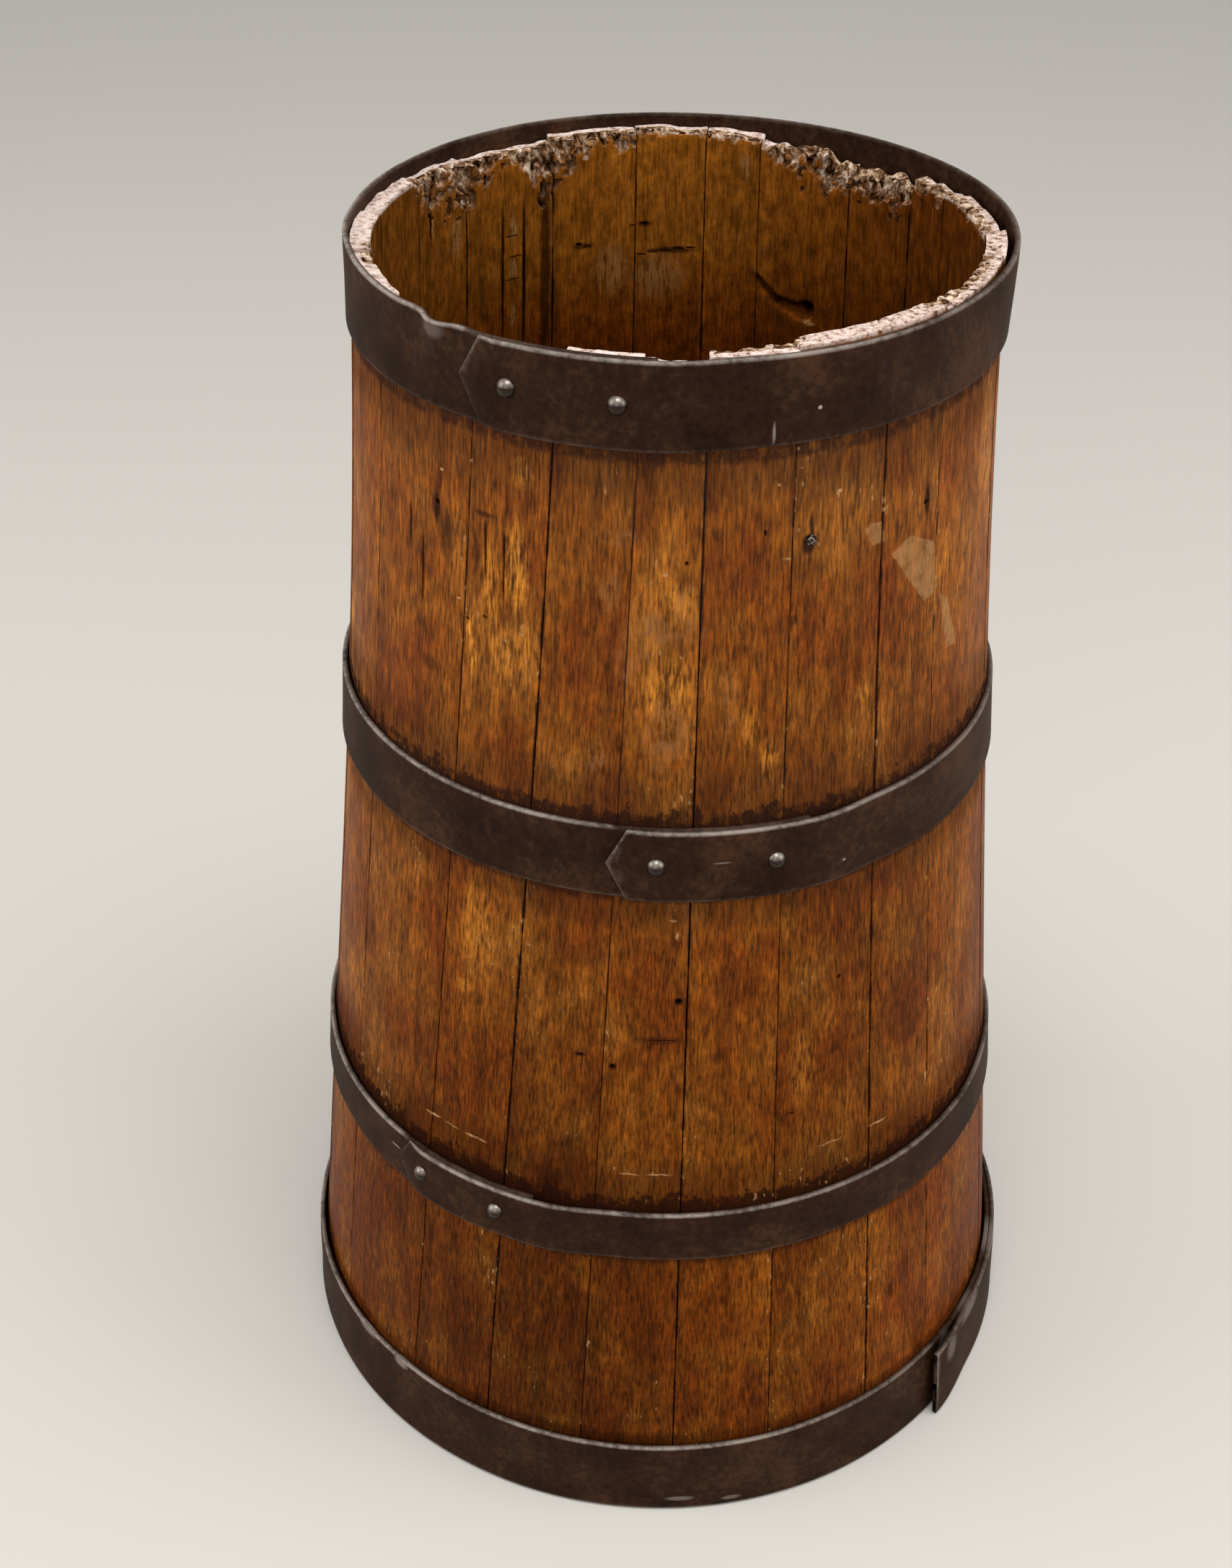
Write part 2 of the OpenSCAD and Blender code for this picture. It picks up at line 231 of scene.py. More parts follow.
def weather(place, end):
    """Wears a point near the rim or in the gouge, and says how bare and how broken it is there."""
    r, angle, z = math.hypot(place.x, place.y), math.atan2(place.y, place.x), place.z
    below = end - z
    inner = (side(z) - r) / wall(z)
    bare, eaten = 0.0, 0.0
    if below < WEATHERED:
        strength, deep, gone = broken(math.degrees(angle))
        around = angle * RIM_RADIUS
        bend = noise.noise(place * 60) * 0.006 + noise.noise(place * 170) * 0.0025
        # Slivers 4 mm wide and 12 mm long and chips of 2 mm by 4 mm break away by different amounts
        sliver = noise.cell(Vector(((around + bend) * 250, (z + bend) * 85, 4.5)))
        chip = noise.cell(Vector(((around - bend) * 420, (z - bend) * 230, 8.5)))
        lump = noise.noise(Vector((place.x * 90, place.y * 90, z * 40)))
        fine = noise.noise(place * 420)
        reach = deep * (0.55 + 0.34 * sliver + 0.28 * lump + 0.36 * chip)
        eaten = smooth((reach - below) / 0.0025) * smooth((inner + 60 * gone - 0.4) / 0.3) * strength
        loss = eaten * (0.50 + 0.28 * sliver + 0.22 * chip + 0.10 * fine)
        r += wall(z) * max(0.0, loss) * 0.85 * min(1.0, max(0.0, inner))
        # The last 4 mm are worn round and uneven
        top = smooth(1 - below / 0.004)
        z -= top * (0.0006 + 0.0002 * fine + 0.0022 * max(0.0, lump + 0.1))
        # Whole lumps of the end are gone in the worst places
        worst = 0.5 + noise.noise(Vector((around * 48, 2.5, 0)))
        worst += 0.5 * noise.noise(Vector((around * 150, inner, 7)))
        z -= smooth(1 - below / 0.032) * gone * max(0.0, worst)
        eaten = smooth((eaten - 0.12) / 0.12)
        bare = max(smooth(1.4 - below / 0.0022), eaten)
    if inner > 0.5 and GOUGE_ZONE[0] < z < GOUGE_ZONE[1]:
        (start, start_z), (finish, finish_z) = GOUGE
        along = (math.degrees(angle) - start) / (finish - start)
        level = start_z + (finish_z - start_z) * along - GOUGE_SAG * math.sin(math.pi * along)
        # It is twice as wide at the far end
        half = GOUGE_HALF_WIDTH * (1 + smooth((along - 0.55) / 0.3))
        if -0.05 < along < 1.05:
            cut = smooth(1.2 - abs(z - level) / half) * smooth((0.53 - abs(along - 0.5)) / 0.1)
            r += GOUGE_DEPTH * cut
    return Vector((r * math.cos(angle), r * math.sin(angle), z)), bare, eaten


def make_stave(k):
    """One stave: its section spun round the ring, planed to its joints, cut and weathered."""
    end = HEIGHT - STAVE_SHORTS[k] / 1000
    outline = stave_outline(end)
    spread = math.radians(STAVE_SHARES[k])
    opens = [JOINT_OPENS[k], JOINT_OPENS[(k + 1) % len(JOINT_OPENS)]]
    bpy.ops.object.select_all(action="DESELECT")
    bpy.ops.mesh.primitive_circle_add(vertices=len(outline), radius=0.1, fill_type="NGON")
    stave = bpy.context.object
    stave.name = "oak_stave_%02d" % (k + 1)
    for vertex, (r, z) in zip(stave.data.vertices, outline):
        vertex.co = (r, 0, z)
    bpy.ops.object.mode_set(mode="EDIT")
    bpy.ops.mesh.select_all(action="SELECT")
    bpy.ops.mesh.spin(steps=round(STAVE_SHARES[k] / ROUND_STEP), angle=spread,
                      center=(0, 0, 0), axis=(0, 0, 1))
    bpy.ops.mesh.select_all(action="SELECT")
    bpy.ops.mesh.remove_doubles(threshold=0.00001)
    bpy.ops.mesh.normals_make_consistent(inside=False)
    bpy.ops.object.mode_set(mode="OBJECT")
    turned = 1 if sum(v.co.y for v in stave.data.vertices) > 0 else -1
    # Plane both edges to the joint lines, as far open as each joint has dried
    for vertex in stave.data.vertices:
        r, z = math.hypot(vertex.co.x, vertex.co.y), vertex.co.z
        share = turned * math.atan2(vertex.co.y, vertex.co.x) / spread
        low = joint_angle(k, r, z) + opens[0] / 1000 / r
        high = joint_angle(k + 1, r, z) - opens[1] / 1000 / r
        angle = low + share * (high - low)
        vertex.co = (r * math.cos(angle), r * math.sin(angle), z)
    # Take the corners off the joint edges
    edit_faces(stave, [f.index for f in stave.data.polygons if len(f.vertices) == len(outline)])
    bpy.ops.mesh.region_to_loop()
    bpy.ops.mesh.bevel(offset=EDGE_ROUND, segments=2, affect="EDGES")
    bpy.ops.mesh.select_all(action="SELECT")
    bpy.ops.mesh.normals_make_consistent(inside=False)
    bpy.ops.object.mode_set(mode="OBJECT")
    for cuts, face in ((OUTSIDE_CUTS, 0), (INSIDE_CUTS, 1)):
        for cut in cuts:
            radius = side(cut[1]) - face * wall(cut[1])
            low, high = joint_angle(k, radius, cut[1]), joint_angle(k + 1, radius, cut[1])
            if 0 < (math.radians(cut[0]) - low) % (2 * math.pi) < high - low:
                cut_stave(stave, radius, cut)
    # Weather every point, and keep what the finish needs to know about it
    known = {name: [] for name in ("bare", "eaten", "inside", "gap", "dark", "tone")}
    for vertex in stave.data.vertices:
        r, z = math.hypot(vertex.co.x, vertex.co.y), vertex.co.z
        angle = math.atan2(vertex.co.y, vertex.co.x)
        # Angles wrap a little below zero, so that a point just past a joint stays near it
        from_low = (angle - joint_angle(k, r, z) + 0.1) % (2 * math.pi) - 0.1
        from_high = (joint_angle(k + 1, r, z) - angle + 0.1) % (2 * math.pi) - 0.1
        share = from_low / (from_low + from_high)
        inner = (side(z) - r) / wall(z)
        vertex.co, bare, eaten = weather(vertex.co, end)
        known["bare"].append(bare)
        known["eaten"].append(eaten)
        known["inside"].append(smooth((inner - 0.2) / 0.4))
        known["gap"].append(min(from_low, from_high) * r * 1000)
        known["dark"].append(opens[0] + (opens[1] - opens[0]) * smooth(share))
        known["tone"].append(STAVE_TONES[k])
        sink = STAVE_SINKS[k] / 1000 * (1 - smooth(inner * 2))
        vertex.co *= Vector((1 - sink / r, 1 - sink / r, 1))
    for name, values in known.items():
        put_attribute(stave, name, values)
    bpy.ops.object.select_all(action="DESELECT")
    stave.select_set(True)
    bpy.ops.object.shade_smooth_by_angle(angle=math.radians(38))
    return stave


def colour(hex_code):
    """An sRGB hex colour as linear red, green, blue and alpha."""
    parts = [int(hex_code[i:i + 2], 16) / 255 for i in (1, 3, 5)]
    return [p / 12.92 if p <= 0.04045 else ((p + 0.055) / 1.055) ** 2.4 for p in parts] + [1.0]


def fill(material, node, inputs):
    """Links each input of a node, or sets it where it is the same all over."""
    for name, value in inputs.items():
        if isinstance(value, bpy.types.NodeSocket):
            material.node_tree.links.new(value, node.inputs[name])
        else:
            node.inputs[name].default_value = value


def add(material, kind, inputs=None, **settings):
    """Adds one node, sets it up and links or fills its inputs."""
    node = material.node_tree.nodes.new(kind)
    for name, value in settings.items():
        setattr(node, name, value)
    fill(material, node, inputs or {})
    return node


def scaled(material, value, ranges):
    """A value times some others, each brought from the range it has to the range it is to give."""
    for other, low, high, least, most in ranges:
        factor = add(material, "ShaderNodeMapRange",
                     {"Value": other, "From Min": low, "From Max": high, "To Min": least,
                      "To Max": most}).outputs[0]
        value = add(material, "ShaderNodeMath", {0: value, 1: factor}, operation="MULTIPLY").outputs[0]
    return value


def greatest(material, values):
    """The greatest of some values."""
    most = values[0]
    for value in values[1:]:
        most = add(material, "ShaderNodeMath", {0: most, 1: value}, operation="MAXIMUM").outputs[0]
    return most


def covered(material, base, layers):
    """A colour with others laid over it in turn, each where its mask is on."""
    for mask, over in layers:
        base = add(material, "ShaderNodeMix", {0: mask, 6: base, 7: over}, data_type="RGBA").outputs[2]
    return base


def new_material(name):
    material = bpy.data.materials.new(name)
    material.use_nodes = True
    shader = material.node_tree.nodes["Principled BSDF"]
    return material, shader


def set_ramp(node, stops):
    """Sets the stops of a colour ramp, each a place and a colour."""
    ramp = node.color_ramp
    while len(ramp.elements) < len(stops):
        ramp.elements.new(0.5)
    for element, (position, hex_code) in zip(ramp.elements, stops):
        element.position = position
        element.color = colour(hex_code)


# Marks are laid out on the side unrolled to this radius, in millimetres round and up
SKIN_RADIUS = 180


def unroll(material, place, ragged):
    """The side of the barrel rolled out flat, made ragged by some millimetres."""
    parts = add(material, "ShaderNodeSeparateXYZ", {0: place})
    turn = add(material, "ShaderNodeMath", {0: parts.outputs["Y"], 1: parts.outputs["X"]},
               operation="ARCTAN2").outputs[0]
    round_side = add(material, "ShaderNodeMath", {0: turn, 1: SKIN_RADIUS, 2: -0.5 * ragged},
                     operation="MULTIPLY_ADD").outputs[0]
    up = add(material, "ShaderNodeMath", {0: parts.outputs["Z"], 1: 1000, 2: -0.5 * ragged},
             operation="MULTIPLY_ADD").outputs[0]
    flat = add(material, "ShaderNodeCombineXYZ", {0: round_side, 1: up}).outputs[0]
    # Raggedness with features about 5 mm across
    tear = add(material, "ShaderNodeTexNoise",
               {"Vector": place, "Scale": 200.0, "Detail": 2.0}).outputs["Color"]
    return add(material, "ShaderNodeVectorMath", {0: tear, 1: (ragged, ragged, 0), 2: flat},
               operation="MULTIPLY_ADD").outputs[0]


def patch(material, skin, corners):
    """The mask of a patch with straight sides, from its corners, each an angle and a height."""
    points = [Vector((math.radians(angle) * SKIN_RADIUS, z, 0)) for angle, z in corners]
    mask = None
    for start, end in zip(points, points[1:] + points[:1]):
        inward = Vector((start.y - end.y, end.x - start.x, 0)).normalized()
        depth = add(material, "ShaderNodeVectorMath", {0: skin, 1: inward},
                    operation="DOT_PRODUCT").outputs["Value"]
        depth = add(material, "ShaderNodeMath", {0: depth, 1: inward.dot(start)},
                    operation="SUBTRACT").outputs[0]
        mask = depth if mask is None else add(
            material, "ShaderNodeMath", {0: mask, 1: depth}, operation="MINIMUM").outputs[0]
    return add(material, "ShaderNodeMapRange",
               {"Value": mask, "From Min": -0.4, "From Max": 0.4}).outputs[0]


def spots(material, skin, marks, soft=0.7):
    """One mask for a list of marks: angle, height, half width, half height and strength."""
    mask = None
    for angle, z, half_width, half_height, strength in marks:
        fit = Vector((1000 * side(z / 1000) / SKIN_RADIUS / half_width, 1 / half_height, 0))
        middle = fit * Vector((math.radians(angle) * SKIN_RADIUS, z, 0))
        local = add(material, "ShaderNodeVectorMath", {0: skin, 1: fit, 2: -middle},
                    operation="MULTIPLY_ADD").outputs[0]
        distance = add(material, "ShaderNodeVectorMath", {0: local}, operation="LENGTH").outputs["Value"]
        spot = add(material, "ShaderNodeMapRange",
                   {"Value": distance, "From Min": 1 + soft / 2, "From Max": 1 - soft / 2,
                    "To Max": strength}).outputs[0]
        mask = spot if mask is None else greatest(material, [mask, spot])
    return mask


# Varnished oak: short grain streaks, patches of redder and more golden brown under an old
# varnish with a soft sheen and some painted sheen, dirt along the joints and hoops with painted shadow
# under the hoops, painted shade inside, bare pinkish end grain at the rim.
# Each mark below is its angle, then in millimetres its height, half width and half height, and its
# strength. Stains of rust and dirt come first.
STAINS = [
    (-132.2, 597, 2.2, 8, 0.95),
    (-129.8, 586, 5.0, 11, 0.55),
    (-131.6, 613, 1.6, 9, 0.45),
    (-67.2, 597, 3.6, 4.5, 0.90),
    (-66.8, 606, 0.9, 6, 0.85),
    (-66.4, 585, 8.0, 6, 0.35),
    (-121.9, 602.6, 5.0, 1.6, 0.75),
    (-121.6, 592, 1.2, 10, 0.60),
    (-118.0, 590, 1.0, 9, 0.60),
    (-123.4, 582, 1.4, 8, 0.55),
    (-42.6, 601, 1.8, 8.5, 0.95),
    (-69.3, 560, 1.8, 2.5, 0.60),
    (-133.2, 513, 6.0, 3.5, 0.45),
    (-54.7, 462, 6.0, 4.5, 0.60),
    (-87.0, 458, 4.0, 8, 0.75),
    (-89.5, 328, 13.0, 2.2, 0.50),
    (-86.9, 352, 2.6, 2.6, 0.85),
    (-102.5, 315, 3.2, 1.4, 0.70),
    (-97.2, 310, 1.8, 1.8, 0.90),
    (-139.5, 420, 3.5, 24, 0.30),
    (-139.0, 582, 1.2, 12, 0.55),
    (-135.6, 562, 1.3, 20, 0.55),
    (-48.0, 118, 1.6, 5, 0.60),
]
# Golden places where the varnish has worn thin
GOLDEN = [
    (-115.8, 580, 6.0, 22, 0.90),
    (-120.5, 568, 5.0, 20, 0.60),
    (-114.6, 628, 5.0, 7, 0.85),
    (-124.8, 541, 1.6, 4, 0.95),
    (-124.0, 526, 2.4, 12, 0.80),
    (-118.0, 535, 6.0, 14, 0.50),
    (-90.0, 527, 11.0, 14, 0.55),
    (-88.5, 572, 8.0, 10, 0.50),
    (-73.0, 488, 4.5, 12, 0.60),
    (-76.0, 505, 4.0, 8, 0.35),
    (-55.9, 512, 5.0, 5, 0.50),
    (-124.0, 335, 5.0, 4, 0.50),
    (-122.0, 380, 8.0, 26, 0.40),
    (-66.0, 300, 7.0, 22, 0.35),
]
# Damp that has darkened the foot
DAMP = [
    (-110, 90, 85, 170, 0.38),
    (70, 70, 120, 120, 0.25),
]
# Boards that stayed dry there and kept their colour
DRY_FOOT = [
    (-48, 100, 45, 130, 0.34),
    (-78, 95, 26, 110, 0.20),
]
# Scuffs that have left the varnish dull and pale, and two wide pale patches on the flanks that are painted
# sheen
SCUFFS_AND_SHEEN = [
    (-90.7, 560, 16, 9, 0.55),
    (-101.4, 489, 5, 8, 0.60),
    (-89.5, 507, 8, 16, 0.60),
    (-87.0, 575, 5, 7, 0.60),
    (-98.0, 604, 9, 4, 0.35),
    (-85.5, 420, 4, 30, 0.30),
    # These two are painted sheen on the flanks
    (-160.0, 520, 14, 60, 0.30),
    (-25.0, 520, 14, 60, 0.30),
    (-95.0, 545, 9, 20, 0.36),
    (-91.0, 500, 8, 16, 0.42),
    (-99.5, 576, 5, 11, 0.36),
    (-80.0, 520, 4, 18, 0.30),
]
# Dried glue: the corners of each patch, angle and height
RESIDUE = [
    [(-50.9, 580.7), (-42.4, 546.9), (-38.6, 550.2), (-40.0, 576.0), (-46.5, 586.5)],
    [(-56.7, 597.2), (-54.9, 588.2), (-52.5, 589.1), (-53.0, 599.0), (-55.4, 600.2)],
    [(-37.9, 546.6), (-34.9, 512.2), (-31.5, 510.3), (-34.9, 539.0)],
]
# Scratches along the hoops and small chips
SCRATCHES = [
    (-129.5, 240.8, 5, 0.8, 0.95),
    (-125.4, 240.4, 5, 0.4, 0.60),
    (-120.6, 240.2, 6, 0.7, 0.90),
    (-94.0, 241.5, 5, 0.5, 0.60),
    (-89.4, 241.8, 6, 0.6, 0.70),
    (-51.3, 245, 6, 0.6, 0.80),
    (-60.8, 245.6, 7, 0.5, 0.60),
    (-131.1, 617, 0.9, 0.7, 0.95),
    (-124.6, 627, 0.8, 0.7, 0.90),
    (-127.0, 555, 1.0, 0.6, 0.90),
    (-61.9, 621, 1.1, 0.7, 0.90),
    (-72.6, 629, 0.8, 0.8, 0.70),
    (-71.0, 592, 2.0, 0.8, 0.80),
    (-53.0, 610, 0.9, 1.8, 0.90),
    (-53.0, 605, 0.8, 0.9, 0.90),
    (-90.7, 587, 0.8, 0.8, 0.80),
    (-88.0, 400, 1.6, 0.8, 0.80),
    (-87.3, 391, 0.8, 1.8, 0.70),
]
# Rubbed places inside, dark ones in the cracks, and painted shade in the gouge
INSIDE_PALE = [
    (141.5, 645, 4.0, 10, 0.45),
    (76.0, 667, 3.0, 7, 0.45),
    (126.4, 640, 2.4, 7, 0.70),
    (126.4, 616, 2.6, 6, 0.70),
    (126.4, 590, 1.2, 8, 0.60),
    (94.0, 602, 14, 12, 0.45),
    (104.0, 607, 9, 13, 0.40),
    (60.8, 583, 3.5, 1.2, 0.95),
    (148.8, 655, 1.2, 6, 0.60),
]
INSIDE_DARK = [
    (118.8, 610, 3.4, 60, 0.80),
    (129.0, 615, 1.2, 40, 0.80),
    (123.8, 610, 1.2, 46, 0.80),
    (91.0, 617, 13, 1.8, 0.75),
    (97.0, 632.5, 4, 1.6, 0.75),
    (110.3, 622, 6, 1.6, 0.75),
    # These two are painted shade in the gouge
    (67.0, 593, 9, 3.0, 0.85),
    (61.8, 592, 4.0, 5.0, 0.95),
    (149.6, 663, 1.2, 15, 0.85),
]
# Edges of the hoops, the height in millimetres over which each dark band fades there, and its strength
# Narrow bands above a hoop are dirt, the wide ones above are painted shade, and those below are painted
# shadow
DIRT_AND_SHADE_BANDS = [
    (49.5, 9, 0.55),
    (217, 13, 0.95),
    (217, 38, 0.50),
    (454, 10, 0.85),
    (454, 36, 0.45),
    (649, -13, 0.85),
    (649, -36, 0.50),
    (415, -8, 0.75),
    (415, -24, 0.40),
    (187, -7, 0.60),
]
# How far the dirt, soot and painted shade go on behind a hoop
BEHIND_HOOP = 8
# Upper edges of the two middle hoops, how far the line of soot above each is lowered, and its soft edge
SOOTY_EDGES = [(217, 10.5), (454, 13.5)]
SOOT_FADE = 5.5

oak, oak_shader = new_material("varnished_oak")
place = add(oak, "ShaderNodeTexCoord").outputs["Object"]
sideways = add(oak, "ShaderNodeSeparateXYZ", {0: place}).outputs["X"]
tone, bare, eaten, inside, gap, dark = [
    add(oak, "ShaderNodeAttribute", attribute_name=name).outputs["Fac"]
    for name in ("tone", "bare", "eaten", "inside", "gap", "dark")
]
skin = unroll(oak, place, 5.0)
fine_skin = unroll(oak, place, 2.0)
height = add(oak, "ShaderNodeSeparateXYZ", {0: skin}).outputs["Y"]
# Each board has its own grain
shift = add(oak, "ShaderNodeVectorMath", {0: (3.1, 1.7, 0.9), "Scale": tone}, operation="SCALE").outputs[0]
board = add(oak, "ShaderNodeVectorMath", {0: place, 1: shift}, operation="ADD").outputs[0]
# Streaks 1.2 mm wide and 12 mm long, bands 6 mm by 150 mm, patches 45 mm by 70 mm, mottle 6 mm, then
# breaks in the joint lines about every 20 mm, flecks of 2 mm by 5 mm and flakes of 4 mm by 8 mm
patterns = [
    (board, (860, 860, 80), {"Detail": 3.0, "Roughness": 0.6}),
    (board, (160, 160, 7), {"Detail": 2.0, "Distortion": 0.3}),
    (board, (22, 22, 14), {"Detail": 4.0, "Roughness": 0.65}),
    (board, (170, 170, 110), {"Detail": 4.0, "Roughness": 0.7}),
    (place, (40, 40, 50), {"Detail": 4.0, "Roughness": 0.7}),
    (place, (420, 420, 190), {"Detail": 1.0}),
    (place, (230, 230, 120), {"Detail": 5.0, "Roughness": 0.65, "Distortion": 0.8}),
]
noises = []
for source, stretch, settings in patterns:
    stretched = add(oak, "ShaderNodeMapping", {0: source, "Scale": stretch}).outputs[0]
    noises.append(add(oak, "ShaderNodeTexNoise",
                      {"Vector": stretched, "Scale": 1.0, **settings}).outputs["Fac"])
streaks, bands, patches, mottle, line_breaks, flecks, flakes = noises
grain = scaled(oak, 1.0, [
    (streaks, 0.32, 0.66, 0.40, 1.70),
    (bands, 0.34, 0.66, 0.76, 1.24),
    (mottle, 0.32, 0.68, 0.72, 1.28),
])
# Each board has its own tone, and the foot is darker from damp and splashes
light = scaled(oak, grain, [
    (tone, 0, 1, 0.77, 1.21),
    (patches, 0.34, 0.66, 0.86, 1.14),
    (height, 60, 540, 0.70, 1.08),
])
light = scaled(oak, light, [(spots(oak, skin, DAMP, soft=1.4), 0, 1, 1, 0)])
light = scaled(oak, light, [(spots(oak, skin, DRY_FOOT, soft=1.4), 0, 1, 1, 2)])
redder = add(oak, "ShaderNodeMapRange",
             {"Value": height, "From Min": 60.0, "From Max": 420.0, "To Min": -0.10,
              "To Max": 0.01}).outputs[0]
hue = add(oak, "ShaderNodeMath", {0: patches, 1: redder}, operation="ADD").outputs[0]
hue_ramp = add(oak, "ShaderNodeValToRGB", {0: hue})
set_ramp(hue_ramp, [(0.36, "#6f3407"), (0.50, "#77400c"), (0.64, "#7d4915")])
wood = add(oak, "ShaderNodeHueSaturation", {"Color": hue_ramp.outputs[0], "Value": light}).outputs[0]
# Golden patches where the varnish has worn thin, mostly high up on the lighter staves
thin = add(oak, "ShaderNodeMath", {0: patches, 1: tone}, operation="MULTIPLY").outputs[0]
thin = scaled(oak, 1.0, [(thin, 0.34, 0.52, 0, 0.75), (height, 230, 480, 0.05, 1)])
thin = greatest(oak, [thin, spots(oak, skin, GOLDEN)])
thin = scaled(oak, thin, [(grain, 0.55, 1.15, 0, 1)])
gold = add(oak, "ShaderNodeHueSaturation", {"Color": colour("#ad6d22"), "Value": light}).outputs[0]
wood = covered(oak, wood, [(thin, gold)])
scuffed_and_sheen = scaled(oak, spots(oak, skin, SCUFFS_AND_SHEEN), [(mottle, 0.44, 0.58, 0, 1)])
wood = covered(oak, wood, [(scuffed_and_sheen, colour("#8f5f38"))])
glue = greatest(oak, [patch(oak, fine_skin, corners) for corners in RESIDUE])
glue = scaled(oak, glue, [(mottle, 0.36, 0.60, 0.25, 0.65)])
wood = covered(oak, wood, [(glue, colour("#a57b4c"))])
# Dirt packed along the hoops, painted shadow under them and painted shade in wide bands beside them, and
# stains round the nails
dirt_and_shade = spots(oak, fine_skin, STAINS)
for edge, reach, strength in DIRT_AND_SHADE_BANDS:
    dirt_and_shade_band = add(oak, "ShaderNodeMath", {0: height, 1: edge - math.copysign(BEHIND_HOOP, reach)},
                operation="GREATER_THAN" if reach > 0 else "LESS_THAN").outputs[0]
    dirt_and_shade_band = scaled(oak, dirt_and_shade_band, [
        (height, edge + reach, edge + 0.5 * reach, 0, strength),
        (mottle, 0.26, 0.50, 0, 1),
    ])
    dirt_and_shade = greatest(oak, [dirt_and_shade, dirt_and_shade_band])
# Soot in a ragged line up to about 10 mm high
ragged = add(oak, "ShaderNodeMath", {0: mottle, 1: -45.0, 2: height}, operation="MULTIPLY_ADD").outputs[0]
for edge, lowered in SOOTY_EDGES:
    soot = add(oak, "ShaderNodeMath", {0: height, 1: edge - BEHIND_HOOP},
               operation="GREATER_THAN").outputs[0]
    soot = scaled(oak, soot, [(ragged, edge - lowered, edge - lowered - SOOT_FADE, 0, 0.93)])
    dirt_and_shade = greatest(oak, [dirt_and_shade, soot])
# Joint lines, wide where the joint is open and broken up along their length
line_width = add(oak, "ShaderNodeMath", {0: dark, 1: 1.5, 2: 0.16}, operation="MULTIPLY_ADD").outputs[0]
line_width = scaled(oak, line_width, [(line_breaks, 0.34, 0.66, 0.05, 1.8)])
line = add(oak, "ShaderNodeMath", {0: gap, 1: line_width}, operation="DIVIDE").outputs[0]
line = add(oak, "ShaderNodeMapRange",
           {"Value": line, "From Min": 1.6, "From Max": 0.6, "To Max": 0.88}).outputs[0]
dirt_and_shade = greatest(oak, [dirt_and_shade, line])
# Painted sheen: a faint pale grey over the varnish, most of it near the top
painted_sheen = add(oak, "ShaderNodeMapRange",
            {"Value": height, "From Min": 220.0, "From Max": 600.0, "To Max": 0.010}).outputs[0]
wood = covered(oak, wood, [(dirt_and_shade, colour("#240e06")), (painted_sheen, colour("#d8d0c8"))])
# Flecks and chips that show pale wood gather along the joints and in rubbed places
beside = add(oak, "ShaderNodeMapRange",
             {"Value": gap, "From Min": 3.5, "From Max": 0.6, "To Max": 0.08}).outputs[0]
flecks = add(oak, "ShaderNodeMath", {0: flecks, 1: beside}, operation="ADD").outputs[0]
flecks = add(oak, "ShaderNodeMath", {0: patches, 1: 0.9, 2: flecks}, operation="MULTIPLY_ADD").outputs[0]
flecks = add(oak, "ShaderNodeMapRange",
             {"Value": flecks, "From Min": 1.24, "From Max": 1.34, "To Max": 0.55}).outputs[0]
scratched = scaled(oak, spots(oak, fine_skin, SCRATCHES), [(mottle, 0.26, 0.50, 0, 1)])
chipped = greatest(oak, [flecks, scratched])
wood = covered(oak, wood, [(chipped, colour("#bd8f60"))])
# The inside was never varnished: dull brown, with painted shade that darkens it towards the bottom and on
# both flanks
shaded_right_flank = (sideways, 0.02, 0.13, 1.1, 0.42)
inner_light = add(oak, "ShaderNodeMath", {0: grain, 1: 0.6}, operation="POWER").outputs[0]
inner_light = scaled(oak, inner_light, [
    (height, 545, 620, 0.64, 1.28),
    (mottle, 0.34, 0.66, 0.72, 1.28),
    shaded_right_flank,
    (sideways, -0.15, -0.02, 0.55, 1),
])
# More olive towards the top, and less so on the right flank
olive_upper_inside = scaled(oak, 1.0, [(height, 560, 625, 0, 1), shaded_right_flank])
inner_hue = covered(oak, colour("#733606"), [(olive_upper_inside, colour("#73420f"))])
inner_wood = add(oak, "ShaderNodeHueSaturation", {"Color": inner_hue, "Value": inner_light}).outputs[0]
pale_inside = scaled(oak, spots(oak, skin, INSIDE_PALE), [(grain, 0.55, 1.15, 0, 1)])
inner_wood = covered(oak, inner_wood, [(pale_inside, colour("#9c7648"))])
# Dark cracks and joints inside, and painted shade in the gouge
inner_dirt_and_shade = greatest(oak, [spots(oak, fine_skin, INSIDE_DARK), line])
inner_wood = covered(oak, inner_wood, [(inner_dirt_and_shade, colour("#150802"))])
# End grain at the rim: pale pinkish grey with specks of dirt about 3 mm across, more of them on one
# side, flaked and hollow where it is broken
crack = add(oak, "ShaderNodeTexNoise",
            {"Vector": place, "Scale": 300.0, "Detail": 4.0, "Roughness": 0.7}).outputs["Fac"]
dirty_side = add(oak, "ShaderNodeMapRange",
                 {"Value": sideways, "From Min": 0.02, "From Max": 0.12, "To Max": -0.07}).outputs[0]
crack = add(oak, "ShaderNodeMath", {0: crack, 1: dirty_side}, operation="ADD").outputs[0]
rim_ramp = add(oak, "ShaderNodeValToRGB", {0: crack})
set_ramp(rim_ramp, [(0.32, "#5f4334"), (0.40, "#bd9f8f"), (0.50, "#e2cbbf"), (0.66, "#f4e6dc")])
flake_ramp = add(oak, "ShaderNodeValToRGB", {0: flakes})
set_ramp(flake_ramp, [(0.36, "#1d0e06"), (0.44, "#5c3c24"), (0.53, "#a58263"), (0.64, "#e6d3bd")])
flaked = add(oak, "ShaderNodeMapRange", {"Value": eaten, "From Max": 0.2}).outputs[0]
rim_wood = covered(oak, rim_ramp.outputs[0], [(flaked, flake_ramp.outputs[0])])
wood = covered(oak, wood, [(inside, inner_wood), (bare, rim_wood)])
